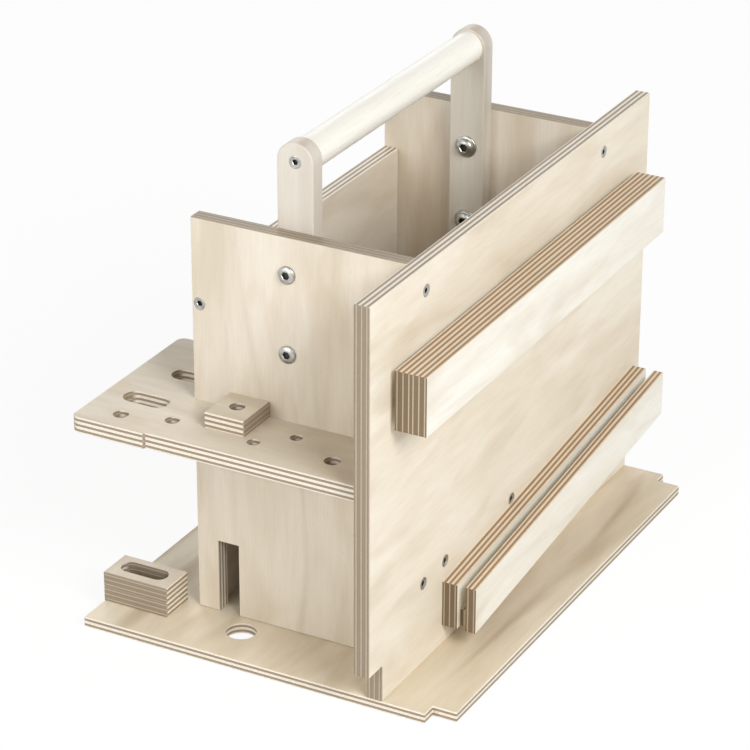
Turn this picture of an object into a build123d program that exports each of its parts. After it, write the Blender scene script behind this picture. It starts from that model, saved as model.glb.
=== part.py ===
from build123d import *
import os

os.makedirs("parts", exist_ok=True)

# An open tool tote of birch plywood: a base plate, a tall side panel with two saw rails, two end
# panels with tool shelves outside them, a lower left panel, a round handle rail and a low drawer.
# Millimetres. X runs across the tote, Y to the rear and Z up. The origin is on the floor, under
# the middle of the base plate.

# ---- stock ----
ply = 9.0               # seven-ply board: panels, shelves, rails
ply_mid = 6.0           # five-ply board: base plate, outer board of the lower rail, drawer sides
ply_thin = 4.0          # three-ply board: drawer guides and drawer bottom
strip_thick = 3.0       # strip that holds the upper rail off the side panel
ease = 0.4              # sanded edges

# ---- base plate and side panel ----
base_width = 223.0
base_length = 305.0
step_width = 14.0       # stepped corners on the right
step_depth = 9.0
right_ledge = 39.0      # base plate outside the side panel
left_ledge = 48.5       # base plate outside the left panel
side_height = 231.0     # above the base plate
side_overhang = 14.5    # side panel beyond the base plate, front and rear
foot_height = 21.3      # the overhang starts this far above the base plate
left_height = 196.0     # left panel

# ---- end panels, compartment and the bays under its floor ----
front_setback = 55.5    # end panel's outer face behind the side panel's front edge
rear_setback = 57.0
drawer_bay_width = 87.0     # between the bay wall and the side panel
floor_height = 45.0     # underside of the compartment floor, above the base plate
bar_slot_width = 13.0   # slot for a flat bar in the front end panel
bar_slot_height = 43.6
bar_slot_inset = 12.8   # from the end panel's left edge

# ---- tool shelves ----
shelf_height = 126.3    # top of both shelves above the base plate
shelf_inset = 8.0       # shelf edge behind the side panel's front edge
wing_step = 1.5         # the wing stands this much further forward, from as far left of the end panel
wing_inset = 2.0        # wing edge inside the base plate's left edge
wing_length = 111.0     # wing, front to back
corner_radius = 5.0
shelf_groove = 3.0      # depth of the groove in the end panel that holds a shelf
pad_width = 24.0        # raised pad under the longest tool
pad_depth = 27.3
socket_width = 40.5     # socket block on the base plate, two layers
socket_depth = 22.0
socket_setback = 20.5   # behind the base plate's front edge
socket_slot_x = 19.5    # slot's middle from the block's left front corner
socket_slot_y = 11.5
socket_slot_length = 29.0
socket_slot_width = 11.0

# ---- rails on the side panel ----
upper_rail_length = 291.0
upper_rail_front = 21.0     # behind the side panel's front edge
upper_rail_bottom = 156.0   # above the base plate
upper_rail_height = 33.0
upper_rail_rise = 2.0       # the rear end is this much higher
upper_strip_height = 21.0   # leaves a saw slot above it
upper_strip_inset = 24.0    # strip ends inside the rail ends
lower_rail_length = 242.0
lower_rail_front = 82.0
lower_rail_bottom = 11.7    # front end, above the base plate
lower_rail_height = 26.5
lower_rail_rise = 25.5
lower_strip_height = 10.0   # leaves a blade slot above it
lower_strip_inset = 4.0
blade_slot = 5.0            # between the two boards of the lower rail

# ---- handle ----
upright_width = 21.0
upright_thick = 10.0
upright_top = 279.3     # above the base plate
upright_length = 130.0
handle_offset = 69.0    # handle's centre line from the side panel's inner face
rail_diameter = 18.0
handle_bolt_drop = 69.3     # upper bolt below the upright's top
handle_bolt_pitch = 45.0

# ---- drawer ----
drawer_gap = 0.5        # each side
drawer_top_gap = 1.5
drawer_lift = 0.3       # bottom clearance over the base plate
drawer_length = 196.0
groove_depth = 3.0      # for the drawer bottom
groove_rise = 4.0
groove_slip = 0.2
finger_hole = 20.0
finger_hole_rise = 3.0  # above the middle of the drawer's front

# ---- fasteners ----
screw_shank = 3.5
screw_head = 7.0
screw_head_height = 2.6
bolt_shank = 6.0
bolt_head = 10.0
bolt_head_height = 3.2
bolt_reach = 5.0        # of the bolt into its sleeve nut
flange_diameter = 13.0  # under the bolt's head
flange_thick = 1.2
sleeve_diameter = 8.0
sleeve_head = 10.0
sleeve_head_height = 2.0
sleeve_length = 8.5
rail_screw_length = 40.0
hole_play = 0.1         # holes over shanks

# ---- where the screws stand ----
side_screw_heights = (48.0, 216.5)      # above the base plate
end_screw_heights = (104.0, 182.4)
floor_screw_y = (85.0, 164.5)           # behind the side panel's front edge
base_screw_inset = 22.0                 # inside the end panels

# ---- places that follow from the sizes above ----
base_left = -base_width / 2
base_right = base_width / 2
base_front = -base_length / 2
base_rear = base_length / 2
deck = ply_mid                              # top of the base plate
side_outer = base_right - right_ledge
side_inner = side_outer - ply
side_front = base_front - side_overhang
side_rear = base_rear + side_overhang
side_top = deck + side_height
end_left = base_left + left_ledge
front_face = side_front + front_setback     # outer faces of the end panels
front_back = front_face + ply
rear_face = side_rear - rear_setback
rear_back = rear_face - ply                 # inner face of the rear end panel
left_inner = end_left + ply
bay_right = side_inner - drawer_bay_width       # right face of the drawer bay's wall
bay_wall_left = bay_right - ply
shelf_top = deck + shelf_height
shelf_bottom = shelf_top - ply
wing_left = base_left + wing_inset
wing_front = side_front + shelf_inset - wing_step
floor_bottom = deck + floor_height
floor_top = floor_bottom + ply
handle_x = side_inner - handle_offset
upright_left = handle_x - upright_width / 2
handle_z = deck + upright_top - upright_width / 2
bolt_heights = [deck + upright_top - handle_bolt_drop - i * handle_bolt_pitch for i in range(2)]
guide_left = bay_right + ply_thin           # clear width of the drawer's bay
guide_right = side_inner - ply_thin
drawer_left = guide_left + drawer_gap
drawer_right = guide_right - drawer_gap
drawer_bottom_z = deck + drawer_lift
drawer_top_z = floor_bottom - drawer_top_gap
drawer_front_end = rear_face - drawer_length
groove = drawer_bottom_z + groove_rise      # underside of the drawer's bottom
upper_rail_y = side_front + upper_rail_front
lower_rail_y = side_front + lower_rail_front
rail_x = side_outer + strip_thick           # upper rail's inner board
slot_x = side_outer + ply                   # blade slot of the lower rail

# tool places, measured from the side panel's outer face and front edge
tool_pad_x = side_outer - 101.0
tool_pad_y = side_front + 42.0
pad_left = tool_pad_x - pad_width / 2
long_tool_hole = 17.0
shank_hole = 8.5
front_holes = [(side_outer - back, side_front + y, diameter) for back, y, diameter in (
    (159.4, 20.7, 8.5), (132.0, 27.5, 8.0), (82.0, 26.0, 7.0), (65.0, 41.0, 7.0), (36.0, 27.0, 9.0))]
wing_slots = [(side_outer - back, side_front + y, length, width) for back, y, length, width in (
    (157.0, 42.0, 27.0, 13.0), (150.0, 77.0, 24.0, 12.0))]
rear_holes = [(side_outer - back, 11.0) for back in (98.0, 62.0, 22.0)]
rear_hole_y = (rear_face + side_rear - shelf_inset) / 2


def block(x0, x1, y0, y1, z0, z1):
    """A box from its lowest to its highest corner."""
    return Pos((x0 + x1) / 2, (y0 + y1) / 2, (z0 + z1) / 2) * Box(x1 - x0, y1 - y0, z1 - z0)


def board(x0, x1, y0, y1, z0, z1):
    """A box with sanded edges."""
    shape = block(x0, x1, y0, y1, z0, z1)
    return chamfer(shape.edges(), ease)


def plate(plane, points, thickness, rounded=()):
    """A board cut to an outline that lies on a plane, with some corners rounded."""
    face = make_face(plane * Polyline(points, close=True))
    shape = extrude(face, thickness, dir=plane.z_dir)
    corners = [e for e in shape.edges().filter_by(Axis(plane.origin, plane.z_dir))
               if any((e.center() - plane.from_local_coords(Vector(*p, thickness / 2))).length < 0.01
                      for p in rounded)]
    return fillet(corners, corner_radius) if corners else shape


def upright_hole(x, y, diameter, z0, z1):
    """A round hole along Z."""
    return Pos(x, y, (z0 + z1) / 2) * Cylinder(diameter / 2, z1 - z0)


def long_hole(x, y, length, width, z0, z1):
    """A hole along Z with round ends, long along X."""
    return Pos(x, y, z0) * extrude(SlotOverall(length, width), z1 - z0)


# ---- fasteners: each stands on its own origin, with its head on +Z ----
def countersunk_screw(length, play=0.0):
    """A wood screw with a cone head, flush with the face that it is driven into."""
    shank_radius = screw_shank / 2 + play
    profile = Polyline((0, 0), (screw_head / 2 + play, 0), (shank_radius, -screw_head_height),
                       (shank_radius, -length - play), (0, -length - play), close=True)
    return revolve(make_face(Plane.XZ * profile), Axis.Z)


def button_bolt(length, play=0.0):
    """A button-head bolt with a flange that stands on the face."""
    shank = Pos(0, 0, -length / 2) * Cylinder(bolt_shank / 2 + play, length)
    if play:
        return shank
    flange = Pos(0, 0, flange_thick / 2) * Cylinder(flange_diameter / 2, flange_thick)
    head = Pos(0, 0, flange_thick + bolt_head_height / 2) * Cylinder(bolt_head / 2, bolt_head_height)
    return shank + flange + head


def sleeve_nut(length, play=0.0):
    """A sleeve nut with a flat round head, bored from its end for the bolt."""
    body = Pos(0, 0, -length / 2) * Cylinder(sleeve_diameter / 2 + play, length)
    if play:
        return body
    bore = Pos(0, 0, -length / 2) * Cylinder(bolt_shank / 2 + hole_play, length)
    return body - bore + Pos(0, 0, sleeve_head_height / 2) * Cylinder(sleeve_head / 2, sleeve_head_height)


def place(shape, point, out):
    """Move a fastener to a point, with its head towards a direction."""
    return Plane(origin=point, z_dir=out).location * shape


RIGHT = (1, 0, 0)
FRONT = (0, -1, 0)
REAR = (0, 1, 0)
DOWN = (0, 0, -1)
end_middles = (front_face + ply / 2, rear_face - ply / 2)
left_middle = end_left + ply / 2


def upper_rail_z(y):
    """Height of the upper rail's bottom edge at y."""
    return deck + upper_rail_bottom + upper_rail_rise * (y - upper_rail_y) / upper_rail_length


def lower_rail_z(y):
    """Height of the lower rail's bottom edge at y."""
    return deck + lower_rail_bottom + lower_rail_rise * (y - lower_rail_y) / lower_rail_length


# name: (length, [(point, direction of the head), ...])
screws = {
    "side_panel_screws": (32.0, [((side_outer, y, deck + z), RIGHT)
                                 for y in end_middles for z in side_screw_heights]),
    "floor_screws": (28.0, [((side_outer, side_front + y, floor_bottom + ply / 2), RIGHT)
                            for y in floor_screw_y]),
    "end_panel_screws": (30.0, [((left_middle, y, deck + z), out) for z in end_screw_heights
                                for y, out in ((front_face, FRONT), (rear_face, REAR))]),
    "base_screws": (28.0, [((x, y, 0.0), DOWN) for x in (left_middle, side_outer - ply / 2)
                           for y in (front_back + base_screw_inset, rear_back - base_screw_inset)]),
}
handle_bolts = [((handle_x, y, z), out) for z in bolt_heights
                for y, out in ((front_back + upright_thick, REAR), (rear_back - upright_thick, FRONT))]
handle_sleeves = [((handle_x, y, z), out) for z in bolt_heights
                  for y, out in ((front_face, FRONT), (rear_face, REAR))]
rail_end_screws = [((handle_x, y, handle_z), out) for y, out in ((front_back, FRONT), (rear_back, REAR))]
bolt_length = upright_thick + bolt_reach

cutters = [place(countersunk_screw(length, hole_play), point, out)
           for length, places in screws.values() for point, out in places]
cutters += [place(countersunk_screw(rail_screw_length, hole_play), point, out)
            for point, out in rail_end_screws]
cutters += [place(button_bolt(bolt_length, hole_play), point, out) for point, out in handle_bolts]
cutters += [place(sleeve_nut(sleeve_length, hole_play), point, out) for point, out in handle_sleeves]


def drilled(shape):
    """The board less the hole of each fastener that reaches it."""
    box = shape.bounding_box()
    for cutter in cutters:
        reach = cutter.bounding_box()
        starts = max(box.min.X - reach.max.X, box.min.Y - reach.max.Y, box.min.Z - reach.max.Z)
        ends = max(reach.min.X - box.max.X, reach.min.Y - box.max.Y, reach.min.Z - box.max.Z)
        if starts < 0 and ends < 0:
            shape = shape - cutter
    return shape


# ---- boards ----
def base_plate():
    """The base plate, stepped at both right corners, with a hole under the longest tool."""
    step_x = base_right - step_width
    outline = [(base_left, base_front), (step_x, base_front), (step_x, base_front + step_depth),
               (base_right, base_front + step_depth), (base_right, base_rear - step_depth),
               (step_x, base_rear - step_depth), (step_x, base_rear), (base_left, base_rear)]
    shape = chamfer(plate(Plane.XY, outline, deck).edges(), ease)
    return shape - upright_hole(tool_pad_x, tool_pad_y, long_tool_hole, -1, deck + 1)


def right_side_panel():
    """The tall panel; its foot is as long as the base plate and the rest overhangs it."""
    foot_top = deck + foot_height
    outline = [(base_front, deck), (base_rear, deck), (base_rear, foot_top), (side_rear, foot_top),
               (side_rear, side_top), (side_front, side_top), (side_front, foot_top), (base_front, foot_top)]
    shape = plate(Plane.YZ.offset(side_inner), outline, ply)
    return chamfer(shape.edges(), ease)


def front_end_panel():
    """The front end panel, with a groove for the shelf and an upright slot for a flat bar."""
    shape = board(end_left, side_inner, front_face, front_back, deck, side_top)
    shape -= block(end_left - 1, side_inner + 1, front_face - 1, front_face + shelf_groove,
                   shelf_bottom, shelf_top)
    slot_left = end_left + bar_slot_inset
    return shape - block(slot_left, slot_left + bar_slot_width, front_face - 1, front_back + 1,
                         deck - 1, deck + bar_slot_height)


def rear_end_panel():
    """The rear end panel, with a groove for the shelf and open for the drawer between its guides."""
    shape = board(end_left, side_inner, rear_back, rear_face, deck, side_top)
    shape -= block(end_left - 1, side_inner + 1, rear_face - shelf_groove, rear_face + 1,
                   shelf_bottom, shelf_top)
    return shape - block(guide_left, guide_right, rear_back - 1, rear_face + 1, deck - 1, floor_bottom)


def front_tool_shelf():
    """The front shelf and its wing outside the left panel, with holes and slots for tools."""
    front = side_front + shelf_inset
    rear = front_face + shelf_groove
    outline = [(side_inner, front), (side_inner, rear), (end_left, rear),
               (end_left, wing_front + wing_length), (wing_left, wing_front + wing_length),
               (wing_left, wing_front), (end_left - wing_step, wing_front), (end_left - wing_step, front)]
    shape = plate(Plane.XY.offset(shelf_bottom), outline, ply,
                  rounded=[(wing_left, wing_front), (wing_left, wing_front + wing_length)])
    inner_corner = Vector(end_left, rear, shelf_bottom + ply / 2)
    shape = chamfer([e for e in shape.edges() if (e.center() - inner_corner).length > ease], ease)
    for x, y, diameter in front_holes + [(tool_pad_x, tool_pad_y, shank_hole)]:
        shape -= upright_hole(x, y, diameter, shelf_bottom - 1, shelf_top + 1)
    for x, y, length, width in wing_slots:
        shape -= long_hole(x, y, length, width, shelf_bottom - 1, shelf_top + 1)
    return shape


def rear_tool_shelf():
    """The rear shelf, with a row of holes."""
    shape = board(end_left, side_inner, rear_face - shelf_groove, side_rear - shelf_inset,
                  shelf_bottom, shelf_top)
    for x, diameter in rear_holes:
        shape -= upright_hole(x, rear_hole_y, diameter, shelf_bottom - 1, shelf_top + 1)
    return shape


def front_shelf_pad():
    """The pad that lifts the longest tool, against the front end panel."""
    shape = board(pad_left, pad_left + pad_width, front_face - pad_depth, front_face,
                  shelf_top, shelf_top + ply)
    return shape - upright_hole(tool_pad_x, tool_pad_y, shank_hole, shelf_top - 1, shelf_top + ply + 1)


def socket_layer(level):
    """One of the two layers of the socket block on the base plate's left edge."""
    z = deck + level * ply
    front = base_front + socket_setback
    shape = board(base_left, base_left + socket_width, front, front + socket_depth, z, z + ply)
    return shape - long_hole(base_left + socket_slot_x, front + socket_slot_y, socket_slot_length,
                             socket_slot_width, z - 1, z + ply + 1)


# ---- rails on the side panel ----
def rail_board(bottom_z, y0, length, inset, x0, thickness, height):
    """A sloping board of a rail, with upright ends; bottom_z gives its lower edge."""
    y0, y1 = y0 + inset, y0 + length - inset
    outline = [(y0, bottom_z(y0)), (y1, bottom_z(y1)),
               (y1, bottom_z(y1) + height), (y0, bottom_z(y0) + height)]
    return plate(Plane.YZ.offset(x0), outline, thickness)


def upper_rail_board(x0, thickness, height, inset=0.0):
    return rail_board(upper_rail_z, upper_rail_y, upper_rail_length, inset, x0, thickness, height)


def lower_rail_board(x0, thickness, height, inset=0.0):
    return rail_board(lower_rail_z, lower_rail_y, lower_rail_length, inset, x0, thickness, height)


# ---- handle ----
def upright(y0):
    """A handle upright with a round top."""
    bottom = deck + upright_top - upright_length
    stem = block(upright_left, upright_left + upright_width, y0, y0 + upright_thick, bottom, handle_z)
    middle = Pos(handle_x, y0 + upright_thick / 2, handle_z)
    shape = stem + middle * Rot(90, 0, 0) * Cylinder(upright_width / 2, upright_thick)
    return chamfer([e for face in shape.faces().filter_by(Axis.Y) for e in face.edges()], ease)


def handle_rail():
    """The round rail between the uprights."""
    y0 = front_back + upright_thick
    y1 = rear_back - upright_thick
    return Pos(handle_x, (y0 + y1) / 2, handle_z) * Rot(90, 0, 0) * Cylinder(rail_diameter / 2, y1 - y0)


# ---- drawer ----
def drawer_front():
    """The drawer's front, flush with the rear end panel, with a finger hole and two rebates."""
    shape = board(drawer_left, drawer_right, rear_back, rear_face, drawer_bottom_z, drawer_top_z)
    for x0, x1 in ((drawer_left - 1, drawer_left + ply_mid), (drawer_right - ply_mid, drawer_right + 1)):
        shape -= block(x0, x1, rear_back - 1, rear_back + ply / 2, drawer_bottom_z - 1, drawer_top_z + 1)
    shape -= block(drawer_left + ply_mid - groove_depth, drawer_right - ply_mid + groove_depth,
                   rear_back - 1, rear_back + groove_depth, groove, groove + ply_thin)
    middle_z = (drawer_bottom_z + drawer_top_z) / 2 + finger_hole_rise
    middle = Pos((drawer_left + drawer_right) / 2, rear_face, middle_z)
    return shape - middle * Rot(90, 0, 0) * Cylinder(finger_hole / 2, 3 * ply)


def drawer_side(x0, groove_x):
    """A drawer side, with a groove from groove_x for the bottom."""
    shape = board(x0, x0 + ply_mid, drawer_front_end, rear_back + ply / 2, drawer_bottom_z, drawer_top_z)
    return shape - block(groove_x, groove_x + groove_depth, drawer_front_end - 1, rear_back + ply,
                         groove, groove + ply_thin)


def drawer_back():
    """The drawer's back board, between the sides and above the bottom."""
    return board(drawer_left + ply_mid, drawer_right - ply_mid, drawer_front_end, drawer_front_end + ply_mid,
                 groove + ply_thin, drawer_top_z)


def drawer_floor():
    """The drawer's bottom, held in the grooves."""
    reach = groove_depth - groove_slip
    return block(drawer_left + ply_mid - reach, drawer_right - ply_mid + reach,
                 drawer_front_end, rear_back + reach, groove, groove + ply_thin)


parts = {
    "base_plate": base_plate(),
    "right_side_panel": right_side_panel(),
    "left_side_panel": board(end_left, left_inner, front_back, rear_back, deck, deck + left_height),
    "front_end_panel": front_end_panel(),
    "rear_end_panel": rear_end_panel(),
    "bay_wall": board(bay_wall_left, bay_right, front_back, rear_back, deck, floor_bottom),
    "compartment_floor": board(left_inner, side_inner, front_back, rear_back, floor_bottom, floor_top),
    "front_tool_shelf": front_tool_shelf(),
    "front_shelf_pad": front_shelf_pad(),
    "rear_tool_shelf": rear_tool_shelf(),
    "socket_block_lower": socket_layer(0),
    "socket_block_upper": socket_layer(1),
    "upper_rail_strip": upper_rail_board(side_outer, strip_thick, upper_strip_height, upper_strip_inset),
    "upper_rail_inner_board": upper_rail_board(rail_x, ply, upper_rail_height),
    "upper_rail_outer_board": upper_rail_board(rail_x + ply, ply, upper_rail_height),
    "lower_rail_inner_board": lower_rail_board(side_outer, ply, lower_rail_height),
    "lower_rail_strip": lower_rail_board(slot_x, blade_slot, lower_strip_height, lower_strip_inset),
    "lower_rail_outer_board": lower_rail_board(slot_x + blade_slot, ply_mid, lower_rail_height),
    "handle_upright_front": upright(front_back),
    "handle_upright_rear": upright(rear_back - upright_thick),
    "handle_rail": handle_rail(),
    "drawer_guide_left": block(bay_right, guide_left, front_back, rear_back, deck, floor_bottom),
    "drawer_guide_right": block(guide_right, side_inner, front_back, rear_back, deck, floor_bottom),
    "drawer_front": drawer_front(),
    "drawer_side_left": drawer_side(drawer_left, drawer_left + ply_mid - groove_depth),
    "drawer_side_right": drawer_side(drawer_right - ply_mid, drawer_right - ply_mid),
    "drawer_back": drawer_back(),
    "drawer_floor": drawer_floor(),
}
parts = {name: drilled(shape) for name, shape in parts.items()}

for name, (length, places) in screws.items():
    parts[name] = Compound([place(countersunk_screw(length), point, out).solid() for point, out in places])
parts["handle_rail_screws"] = Compound([place(countersunk_screw(rail_screw_length), point, out).solid()
                                        for point, out in rail_end_screws])
parts["handle_bolts"] = Compound([place(button_bolt(bolt_length), point, out).solid()
                                  for point, out in handle_bolts])
parts["handle_sleeve_nuts"] = Compound([place(sleeve_nut(sleeve_length), point, out).solid()
                                        for point, out in handle_sleeves])
for name, shape in parts.items():
    export_step(shape, f"parts/{name}.step")
print(len(parts), "nodes")
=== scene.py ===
import math

import bmesh
import bpy
from mathutils import Matrix, Vector


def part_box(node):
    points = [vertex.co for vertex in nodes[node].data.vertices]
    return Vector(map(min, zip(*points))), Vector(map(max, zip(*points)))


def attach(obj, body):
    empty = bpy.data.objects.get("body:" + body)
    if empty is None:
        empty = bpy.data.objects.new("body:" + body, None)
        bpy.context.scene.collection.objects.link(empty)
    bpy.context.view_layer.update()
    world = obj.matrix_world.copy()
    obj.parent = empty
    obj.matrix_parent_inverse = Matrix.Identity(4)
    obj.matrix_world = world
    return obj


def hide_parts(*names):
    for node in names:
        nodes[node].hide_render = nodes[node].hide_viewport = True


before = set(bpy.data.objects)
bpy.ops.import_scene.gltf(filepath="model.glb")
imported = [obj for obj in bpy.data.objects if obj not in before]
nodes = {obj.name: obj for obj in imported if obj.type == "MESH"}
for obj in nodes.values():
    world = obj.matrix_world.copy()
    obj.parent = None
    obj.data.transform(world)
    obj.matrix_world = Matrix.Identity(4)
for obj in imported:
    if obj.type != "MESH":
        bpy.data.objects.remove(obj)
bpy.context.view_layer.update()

# Sizes and places are in metres.

# ---- the boards ----
AXES = "XYZ"
LAYERS = {0.009: 7, 0.006: 5, 0.005: 3, 0.004: 3, 0.003: 3}      # plies in a board of each thickness

# node: (axis through the board, axis of the face grain, look)
BOARDS = {
    "base_plate": ("Z", "Y", "base"),
    "right_side_panel": ("X", "Y", "side"),
    "left_side_panel": ("X", "Y", "panel"),
    "front_end_panel": ("Y", "Z", "panel"),
    "rear_end_panel": ("Y", "Z", "panel"),
    "bay_wall": ("X", "Y", "panel"),
    "compartment_floor": ("Z", "Y", "panel"),
    "front_tool_shelf": ("Z", "X", "shelf"),
    "front_shelf_pad": ("Z", "X", "shelf"),
    "rear_tool_shelf": ("Z", "X", "shelf"),
    "socket_block_lower": ("Z", "Y", "shelf"),
    "socket_block_upper": ("Z", "Y", "shelf"),
    "upper_rail_strip": ("X", "Y", "rail"),
    "upper_rail_inner_board": ("X", "Y", "rail"),
    "upper_rail_outer_board": ("X", "Y", "rail"),
    "lower_rail_inner_board": ("X", "Y", "rail"),
    "lower_rail_strip": ("X", "Y", "rail"),
    "lower_rail_outer_board": ("X", "Y", "rail"),
    "drawer_guide_left": ("X", "Y", "drawer"),
    "drawer_guide_right": ("X", "Y", "drawer"),
    "drawer_front": ("Y", "X", "drawer"),
    "drawer_side_left": ("X", "Y", "drawer"),
    "drawer_side_right": ("X", "Y", "drawer"),
    "drawer_back": ("Y", "X", "drawer"),
    "drawer_floor": ("Z", "Y", "drawer"),
}

# ---- colours and shares of the wood ----
# look: (pale face, darker face, strength of the brown growth lines)
LOOKS = {
    "base": ("#ECE2CE", "#D9CBB1", 0.70),
    "side": ("#F0E8D8", "#E3D7C2", 0.16),
    "panel": ("#E4DBCC", "#D2C6B2", 0.16),
    "shelf": ("#DAD0BE", "#C7BAA5", 0.20),
    "rail": ("#F4F1E7", "#EBE5D6", 0.08),
    "drawer": ("#E4DBCC", "#D2C6B2", 0.20),
}
# browns that lie thinly over the plywood
SOFT_PATCH = "#BFA786"
GROWTH_LINE = "#AA8E6C"
FIBRE = "#A8906F"
PORE = "#8A6F52"
CUT_FIBRE = "#75634F"
# and over the hardwood
HARDWOOD_FIBRE = "#B9A788"
RAY_FLECK = "#A38A69"
HARDWOOD_END = "#B39A78"

# edge: (even plies, odd plies, glue line, an even ply's thickness against an odd one's);
# the outer plies are even
LONG_EDGE = ("#EFE6D6", "#9C8B76", "#73634F", 1.6)
END_EDGE = ("#93846F", "#B3A591", "#6C5F51", 1.45)
RAIL_LONG_EDGE = ("#E6D6BC", "#A07C5C", "#785A42", 1.45)
RAIL_END_EDGE = ("#77654F", "#BBA98D", "#4F4135", 2.6)
glue_share = 0.16           # a glue line against an odd ply
outer_share = 0.85          # an outer ply, sanded thinner, against an odd ply
ply_wander = 0.055          # how far the plies wander, against the board's thickness

growth_contours = 8.0       # contours of the ground that the growth lines follow
line_half_width = 0.16      # of the space from one growth line to the next
piece_shift = (0.731, 0.417, 0.29)      # from one seed's place in the grain to the next one's


def linear(hex_colour):
    """An sRGB hex colour as linear RGBA."""
    values = [int(hex_colour[i:i + 2], 16) / 255 for i in (1, 3, 5)]
    return [v / 12.92 if v <= 0.04045 else ((v + 0.055) / 1.055) ** 2.4 for v in values] + [1.0]


# ---- how a finish is built up ----
def add(tree, kind, inputs, **settings):
    """Adds a shader node. Each input is given a value, a socket, or another node's first result."""
    shader = tree.nodes.new("ShaderNode" + kind)
    for key, value in settings.items():
        setattr(shader, key, value)
    for key, value in inputs.items():
        if isinstance(value, bpy.types.Node):
            value = next(result for result in value.outputs if result.enabled)
        if isinstance(value, bpy.types.NodeSocket):
            tree.links.new(value, shader.inputs[key])
        else:
            shader.inputs[key].default_value = value
    return shader


def figured(tree, point, per_metre, detail=2.0, roughness=0.5, distortion=0.0):
    """An uneven pattern from 0 to 1, with about so many features to a metre along each axis."""
    stretched = add(tree, "Mapping", {"Vector": point, "Scale": per_metre})
    return add(tree, "TexNoise", {"Vector": stretched, "Scale": 1.0, "Detail": detail,
                                  "Roughness": roughness, "Distortion": distortion})


def tinted(tree, below, above, pattern, start, full, most=1.0):
    """A colour laid over another, from where a pattern starts to show it to where it shows most."""
    share = add(tree, "MapRange", {"Value": pattern, "From Min": start, "From Max": full, "To Max": most})
    return add(tree, "Mix", {"Factor": share, "A": below, "B": above}, data_type="RGBA")


def sheen(tree, pattern, smooth, rough):
    """Roughness that follows the middle of a pattern."""
    return add(tree, "MapRange", {"Value": pattern, "From Min": 0.3, "From Max": 0.7,
                                  "To Min": smooth, "To Max": rough})


def new_material(name):
    """An empty material and its tree of shader nodes."""
    material = bpy.data.materials.new(name)
    material.use_nodes = True
    material.node_tree.nodes.clear()
    return material, material.node_tree


def finish_material(tree, colour, roughness, relief, relief_mm, **constants):
    """Ends a material in one shader, with a relief from 0 to relief_mm."""
    bump = add(tree, "Bump", {"Strength": 1.0, "Distance": relief_mm / 1000, "Height": relief})
    shader = add(tree, "BsdfPrincipled", {"Base Color": colour, "Roughness": roughness, "Normal": bump,
                                          **constants})
    add(tree, "OutputMaterial", {"Surface": shader})


def grain_point(tree, grain_axis, through_axis, seed):
    """The point in the wood, with X along the grain, Y across it and Z through the piece; its place
    on each of these axes; and how squarely the surface faces along each of them, from 0 to 1."""
    across_axis = next(a for a in AXES if a not in (grain_axis, through_axis))
    order = [AXES.index(a) for a in (grain_axis, across_axis, through_axis)]
    coordinates = add(tree, "TexCoord", {}).outputs
    place = add(tree, "SeparateXYZ", {0: coordinates["Object"]}).outputs
    squarely = add(tree, "VectorMath", {0: coordinates["Normal"]}, operation="ABSOLUTE")
    facing = add(tree, "SeparateXYZ", {0: squarely}).outputs
    turned = add(tree, "CombineXYZ", {i: place[axis] for i, axis in enumerate(order)})
    shift = [seed * step for step in piece_shift]
    point = add(tree, "VectorMath", {0: turned, 1: shift}, operation="ADD")
    return point, [place[axis] for axis in order], [facing[axis] for axis in order]


def ply_ramp(tree, depth, plies, colours):
    """Ply colours through a board, with a thin glue line between each two plies."""
    even, odd, glue = (linear(colour) for colour in colours[:3])
    even_share = colours[3]
    ramp = add(tree, "ValToRGB", {0: depth})
    stops = ramp.color_ramp.elements
    for stop in stops:
        stop.color = even
    widths = [even_share if i % 2 == 0 else 1.0 for i in range(plies)]
    widths[0] = widths[-1] = outer_share
    glue_width = glue_share / sum(widths)
    for i in range(1, plies):
        edge = sum(widths[:i]) / sum(widths)
        before, after = (odd, even) if i % 2 == 0 else (even, odd)
        stops.new(edge - glue_width).color = before
        stops.new(edge).color = glue
        stops.new(edge + glue_width).color = after
    return ramp


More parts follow.
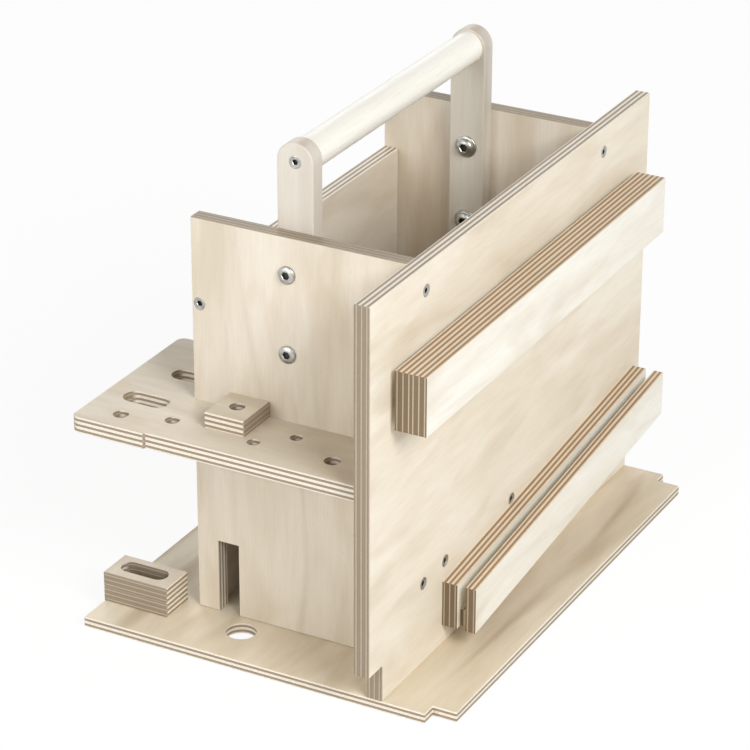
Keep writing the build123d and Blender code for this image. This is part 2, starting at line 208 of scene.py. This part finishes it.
# ---- the materials ----
def plywood(node, through_axis, grain_axis, look, seed):
    """Sanded birch plywood: a pale, quiet, nearly matt face, and edges where pale long-grain plies and
    brown end-grain plies lie in turn between thin dark glue lines."""
    pale, dark, line_strength = LOOKS[look]
    low, high = (corner[AXES.index(through_axis)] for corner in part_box(node))
    plies = LAYERS[min(LAYERS, key=lambda thickness: abs(thickness - (high - low)))]
    material, tree = new_material(f"birch_plywood_{node}")
    point, place, facing = grain_point(tree, grain_axis, through_axis, seed)

    # broad figure of 143 x 33 mm, and soft brown patches of 71 x 21 mm
    figure = figured(tree, point, (7.0, 30.0, 30.0), detail=3.0, distortion=0.8)
    face = tinted(tree, linear(pale), linear(dark), figure, 0.35, 0.66)
    mottle = figured(tree, point, (14.0, 48.0, 48.0), distortion=0.5)
    face = tinted(tree, face, linear(SOFT_PATCH), mottle, 0.50, 0.78, most=0.34)

    # growth lines: contours of a ground of 588 x 77 mm, seen in patches of 200 x 111 mm
    ground = figured(tree, point, (1.7, 13.0, 13.0), roughness=0.35, distortion=0.25)
    contours = add(tree, "Math", {0: ground, 1: growth_contours}, operation="MULTIPLY")
    ring_place = add(tree, "Math", {0: contours}, operation="FRACT")
    from_line = add(tree, "Math", {0: ring_place, 1: 0.5}, operation="SUBTRACT")
    distance = add(tree, "Math", {0: from_line}, operation="ABSOLUTE")
    line = add(tree, "MapRange", {"Value": distance, "From Max": line_half_width,
                                  "To Min": 1.0, "To Max": 0.0})
    patch = add(tree, "MapRange", {"Value": figured(tree, point, (5.0, 9.0, 9.0), detail=1.0),
                                   "From Min": 0.44, "From Max": 0.64})
    patchy_line = add(tree, "Math", {0: line, 1: patch}, operation="MULTIPLY")
    face = tinted(tree, face, linear(GROWTH_LINE), patchy_line, 0.0, 1.0, most=line_strength)

    # fibres of 17 x 0.7 mm and pores of 4 x 0.4 mm, drawn coarser than birch has them so that they show
    fibres = figured(tree, point, (60.0, 1500.0, 1500.0), roughness=0.6)
    face = tinted(tree, face, linear(FIBRE), fibres, 0.3, 0.7, most=0.11)
    pores = figured(tree, point, (230.0, 2300.0, 2300.0), detail=1.0)
    face = tinted(tree, face, linear(PORE), pores, 0.70, 0.80, most=0.22)

    # edges: the plies by their place through the board, wandering a little every 111 mm
    wander = figured(tree, point, (9.0, 9.0, 40.0), detail=1.0)
    drift = add(tree, "MapRange", {"Value": wander, "To Min": -ply_wander / 2, "To Max": ply_wander / 2})
    through = add(tree, "MapRange", {"Value": place[2], "From Min": low, "From Max": high})
    depth = add(tree, "Math", {0: through, 1: drift}, operation="ADD")
    along = ply_ramp(tree, depth, plies, RAIL_LONG_EDGE if look == "rail" else LONG_EDGE)
    end_colours = {"rail": RAIL_END_EDGE, "base": LONG_EDGE}.get(look, END_EDGE)
    end_on = ply_ramp(tree, depth, plies, end_colours)
    edge = tinted(tree, along, end_on, facing[0], 0.45, 0.75)

    # ends of cut fibres on the edges, 1.4 x 0.4 mm, drawn coarser than real ones
    specks = figured(tree, point, (700.0, 700.0, 2600.0), roughness=0.7)
    edge = tinted(tree, edge, linear(CUT_FIBRE), specks, 0.35, 0.7, most=0.24)

    colour = tinted(tree, edge, face, facing[2], 0.78, 0.95)
    relief = add(tree, "Mix", {"Factor": 0.4, "A": fibres, "B": specks})
    finish_material(tree, colour, sheen(tree, fibres, 0.50, 0.64), relief, relief_mm=0.05, IOR=1.5)
    return material


def hardwood(name, grain_axis, pale, dark, seed):
    """Planed and sanded pale hardwood: a smooth, nearly even surface with small ray flecks, a soft
    sheen and slightly browner ends."""
    through_axis = next(a for a in AXES if a != grain_axis)
    material, tree = new_material(name)
    point, _, facing = grain_point(tree, grain_axis, through_axis, seed)

    # figure of 200 x 11 mm, fibres of 22 x 0.7 mm drawn coarser than real ones, flecks of 2.6 x 0.6 mm
    figure = figured(tree, point, (5.0, 90.0, 90.0), detail=3.0, distortion=0.4)
    colour = tinted(tree, linear(pale), linear(dark), figure, 0.35, 0.7)
    fibres = figured(tree, point, (45.0, 1400.0, 1400.0), roughness=0.6)
    colour = tinted(tree, colour, linear(HARDWOOD_FIBRE), fibres, 0.4, 0.75, most=0.14)
    flecks = figured(tree, point, (380.0, 1700.0, 1700.0), detail=1.0)
    colour = tinted(tree, colour, linear(RAY_FLECK), flecks, 0.68, 0.78, most=0.22)
    colour = tinted(tree, colour, linear(HARDWOOD_END), facing[0], 0.8, 0.95, most=0.35)

    finish_material(tree, colour, sheen(tree, fibres, 0.36, 0.50), fibres, relief_mm=0.02, IOR=1.5)
    return material


def zinc():
    """Zinc-plated steel: a bright grey metal with duller patches of 2.4 mm and marks of 0.2 mm from
    turning, which blur what it mirrors."""
    material, tree = new_material("bright_zinc_steel")
    place = add(tree, "TexCoord", {}).outputs["Object"]
    cloud = figured(tree, place, (420.0, 420.0, 420.0), detail=3.0)
    colour = tinted(tree, linear("#C4C3BE"), linear("#9A9994"), cloud, 0.3, 0.7)
    marks = figured(tree, place, (5200.0, 5200.0, 5200.0))
    finish_material(tree, colour, sheen(tree, marks, 0.28, 0.42), marks, relief_mm=0.01, Metallic=1.0)
    return material


def painted_shade_socket():
    """Painted shade inside a hex socket: dark grey steel, with patches of 0.7 mm."""
    material, tree = new_material("socket_steel_painted_shade")
    place = add(tree, "TexCoord", {}).outputs["Object"]
    cloud = figured(tree, place, (1500.0, 1500.0, 1500.0))
    colour = tinted(tree, linear("#3A3835"), linear("#5A5752"), cloud, 0.0, 1.0)
    finish_material(tree, colour, sheen(tree, cloud, 0.5, 0.7), cloud, relief_mm=0.02, Metallic=1.0)
    return material


def paint(node, material):
    """Gives a CAD node one material."""
    slots = nodes[node].data.materials
    slots.clear()
    slots.append(material)


for seed, (node, (through_axis, grain_axis, look)) in enumerate(BOARDS.items(), 1):
    paint(node, plywood(node, through_axis, grain_axis, look, seed))
# the rail is the palest piece of the handle, and the rear upright the darkest: it is the same wood as the
# front upright, given a darker colour as painted shade where it stands in shade at the back
paint("handle_upright_front", hardwood("pale_hardwood_upright_front", "Z", "#D6CFC4", "#C9C0B3", 3))
paint("handle_upright_rear", hardwood("pale_hardwood_upright_rear_painted_shade", "Z", "#CFC9BC", "#C2BAAC", 8))
paint("handle_rail", hardwood("pale_hardwood_dowel", "Y", "#F9F7EE", "#F1EDE2", 5))
steel = zinc()
recess = painted_shade_socket()


# ---- fasteners, in finer form than the CAD solids ----
crease_angle = math.radians(35)
facets = 48                 # round a fastener
mouth_bevel = 0.12          # of a socket's radius


def ring(bm, radius, height, sides=0):
    """A ring of points round Z: a circle, or a polygon with that many sides."""
    points = []
    for i in range(facets):
        angle = 2 * math.pi * i / facets
        reach = radius
        if sides:
            half = math.pi / sides
            reach = radius * math.cos(half) / math.cos(angle % (2 * half) - half)
        points.append(bm.verts.new((reach * math.cos(angle), reach * math.sin(angle), height)))
    return points


def skin(bm, rings, material_index=0):
    """Faces between each two rings."""
    for low, high in zip(rings, rings[1:]):
        for i in range(facets):
            j = (i + 1) % facets
            bm.faces.new((low[i], low[j], high[j], high[i])).material_index = material_index


def lathed(bm, outline, socket_radius, socket_depth):
    """A fastener from its outline, tip first, with a hex socket that has a bevelled mouth."""
    rings = [ring(bm, radius, height) for radius, height in outline]
    skin(bm, rings)
    bm.faces.new(list(reversed(rings[0])))
    top = outline[-1][1]
    bevel = socket_radius * mouth_bevel
    mouth = ring(bm, socket_radius + bevel, top, sides=6)
    lip = ring(bm, socket_radius, top - bevel, sides=6)
    floor = ring(bm, socket_radius, top - socket_depth, sides=6)
    skin(bm, [rings[-1], mouth, lip])
    # the socket's walls and floor take the second material, dark grey painted shade
    skin(bm, [lip, floor], 1)
    bm.faces.new(floor).material_index = 1


def dome(rim, draw_in, foot, rise):
    """The rounded part of a button head, from its rim in to its flat top."""
    return [(rim - draw_in * t ** 2, foot + rise * t ** 0.7) for t in (0.15, 0.35, 0.6, 0.8, 1.0)]


# Each outline is (radius, height) from the tip up, with the wood's surface at height 0.
def screw_outline(length):
    """Tip, shank and cone of a countersunk screw; its face is dished inside a thin rim."""
    shank = 0.00175
    head = 0.0034
    return [(0.0004, -length), (shank, -length + 0.003), (shank, -0.0026), (head, -0.0002),
            (head + 0.00008, -0.00005), (head - 0.00005, 0.0), (0.0028, 0.0), (0.0026, -0.00015)]


def bolt_outline(length):
    """Shank, washer and button head; the head stands 3.7 mm off the wood, 0.7 mm less than in CAD."""
    shank = 0.003
    washer = 0.0064
    head = 0.0049
    return [(shank - 0.0004, -length), (shank, -length + 0.0005), (shank, 0.0), (washer - 0.0002, 0.0),
            (washer, 0.0002), (washer, 0.0009), (washer - 0.0002, 0.0011), (0.0052, 0.0012),
            (head, 0.0014)] + dome(head, 0.0020, 0.0018, 0.0019)


def sleeve_outline(length):
    """Barrel and low domed head of a sleeve nut; the head stands 2 mm off the wood."""
    barrel = 0.004
    head = 0.0049
    return [(barrel - 0.0003, -length), (barrel, -length + 0.0003), (barrel, 0.0), (head, 0.0),
            (head + 0.0001, 0.0005)] + dome(head, 0.0022, 0.0008, 0.0012)


# outline, how far the CAD head stands off the wood, socket radius, socket depth
SCREW = (screw_outline, 0.0, 0.0016, 0.0017)
BOLT = (bolt_outline, 0.0044, 0.0024, 0.0021)
SLEEVE_NUT = (sleeve_outline, 0.0020, 0.0022, 0.0014)
FASTENERS = {
    "side_panel_screws": SCREW,
    "floor_screws": SCREW,
    "end_panel_screws": SCREW,
    "base_screws": SCREW,
    "handle_rail_screws": SCREW,
    "handle_bolts": BOLT,
    "handle_sleeve_nuts": SLEEVE_NUT,
}


def solids_of(node):
    """Lowest and highest corner of each separate solid of a CAD node."""
    bm = bmesh.new()
    bm.from_mesh(nodes[node].data)
    bmesh.ops.remove_doubles(bm, verts=bm.verts, dist=1e-6)
    left = set(bm.verts)
    corners = []
    while left:
        group = [left.pop()]
        for vert in group:
            for link in vert.link_edges:
                other = link.other_vert(vert)
                if other in left:
                    left.remove(other)
                    group.append(other)
        corners.append([Vector([pick(v.co[i] for v in group) for i in range(3)]) for pick in (min, max)])
    bm.free()
    return sorted(corners, key=lambda pair: tuple(pair[0]))


def head_direction(node, low, high):
    """The way a fastener's head faces, out of the wood. A bolt's head faces the middle of the tote;
    sleeve nuts and the screws in the ends face away from it."""
    if node == "base_screws":
        return Vector((0, 0, -1))
    if node in ("side_panel_screws", "floor_screws"):
        return Vector((1, 0, 0))
    away = 1 if low.y + high.y > 0 else -1
    return Vector((0, -away if node == "handle_bolts" else away, 0))


def make_fasteners(node, outline, stand, socket_radius, socket_depth):
    """One piece with every fastener of a node, each on the axis of its CAD solid."""
    bm = bmesh.new()
    for low, high in solids_of(node):
        out = head_direction(node, low, high)
        length = abs((high - low).dot(out))
        surface = (low + high) / 2 + out * (length / 2 - stand)
        one = bmesh.new()
        lathed(one, outline(length - stand), socket_radius, socket_depth)
        turn = Vector((0, 0, 1)).rotation_difference(out).to_matrix().to_4x4()
        one.transform(Matrix.Translation(surface) @ turn)
        bmesh.ops.recalc_face_normals(one, faces=one.faces)
        mesh = bpy.data.meshes.new("one")
        one.to_mesh(mesh)
        one.free()
        bm.from_mesh(mesh)
        bpy.data.meshes.remove(mesh)
    mesh = bpy.data.meshes.new(node + "_turned")
    bm.to_mesh(mesh)
    bm.free()
    for face in mesh.polygons:
        face.use_smooth = True
    mesh.set_sharp_from_angle(angle=crease_angle)
    mesh.materials.append(steel)
    # the second material is the painted shade inside the sockets
    mesh.materials.append(recess)
    piece = bpy.data.objects.new(node + "_turned", mesh)
    bpy.context.scene.collection.objects.link(piece)
    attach(piece, "carcass")
    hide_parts(node)


for node, facts in FASTENERS.items():
    make_fasteners(node, *facts)


# ---- floor, world and light ----
floor_half = 6.0
floor_drop = 0.0002         # below the tote's underside, so that the two don't flicker
glow_share = 0.90           # of the white that the camera sees; the rest takes the tote's shadow
room_strength = 0.40


def seen_direct(tree):
    """1 where the camera sees a surface itself, in a mirror or through glass, otherwise 0."""
    rays = add(tree, "LightPath", {}).outputs
    itself = add(tree, "Math", {0: rays["Is Camera Ray"], 1: rays["Is Glossy Ray"]}, operation="MAXIMUM")
    return add(tree, "Math", {0: itself, 1: rays["Is Transmission Ray"]}, operation="MAXIMUM")


def white_floor():
    """Matt white paper: shows white to the camera and keeps the tote's soft shadow."""
    material, tree = new_material("matt_white_floor")
    paper = add(tree, "BsdfDiffuse", {"Color": linear("#F4F4F2"), "Roughness": 0.5})
    glow = add(tree, "Emission", {"Color": linear("#FFFFFF"), "Strength": 1.0})
    share = add(tree, "Math", {0: seen_direct(tree), 1: glow_share}, operation="MULTIPLY")
    mixed = add(tree, "MixShader", {0: share, 1: paper, 2: glow})
    add(tree, "OutputMaterial", {"Surface": mixed})
    return material


corners = [(x * floor_half, y * floor_half, -floor_drop) for x, y in ((-1, -1), (1, -1), (1, 1), (-1, 1))]
mesh = bpy.data.meshes.new("floor")
mesh.from_pydata(corners, [], [(0, 1, 2, 3)])
mesh.materials.append(white_floor())
floor = bpy.data.objects.new("floor", mesh)
bpy.context.scene.collection.objects.link(floor)

world = bpy.data.worlds.new("studio")
bpy.context.scene.world = world
world.use_nodes = True
tree = world.node_tree
tree.nodes.clear()
room = add(tree, "Background", {"Color": linear("#F7F8FA"), "Strength": room_strength})
backdrop = add(tree, "Background", {"Color": linear("#FFFFFF"), "Strength": 1.0})
both = add(tree, "MixShader", {0: seen_direct(tree), 1: room, 2: backdrop})
add(tree, "OutputWorld", {"Surface": both})


tote_middle = Vector((0.0, 0.0, 0.13))


def lamp(name, place, size, power):
    """A square soft box that faces the middle of the tote."""
    light = bpy.data.lights.new(name, "AREA")
    light.size = size
    light.energy = power
    piece = bpy.data.objects.new(name, light)
    piece.location = place
    piece.rotation_euler = (tote_middle - Vector(place)).to_track_quat("-Z", "Y").to_euler()
    bpy.context.scene.collection.objects.link(piece)


lamp("key_softbox", (1.5, -0.9, 1.3), 0.9, 32.0)
lamp("front_softbox", (-0.5, -1.8, 0.65), 1.0, 14.0)
lamp("rear_softbox", (-1.3, 1.6, 0.95), 1.1, 9.0)

# ---- camera, at the photograph's viewing angle ----
camera_place = Vector((0.7465, -1.4132, 0.8859))
azimuth = math.radians(28.295)
elevation = math.radians(25.804)
roll = math.radians(0.163)
focal_pixels = 3214.95
image_pixels = 750

camera = bpy.data.cameras.new("camera")
camera.sensor_width = 36.0
camera.lens = camera.sensor_width * focal_pixels / image_pixels
camera.clip_start = 0.05
view = bpy.data.objects.new("camera", camera)
view.matrix_world = (Matrix.Translation(camera_place) @ Matrix.Rotation(azimuth, 4, "Z")
                     @ Matrix.Rotation(math.pi / 2 - elevation, 4, "X") @ Matrix.Rotation(roll, 4, "Z"))
bpy.context.scene.collection.objects.link(view)
bpy.context.scene.camera = view
bpy.context.scene.view_settings.view_transform = "Standard"
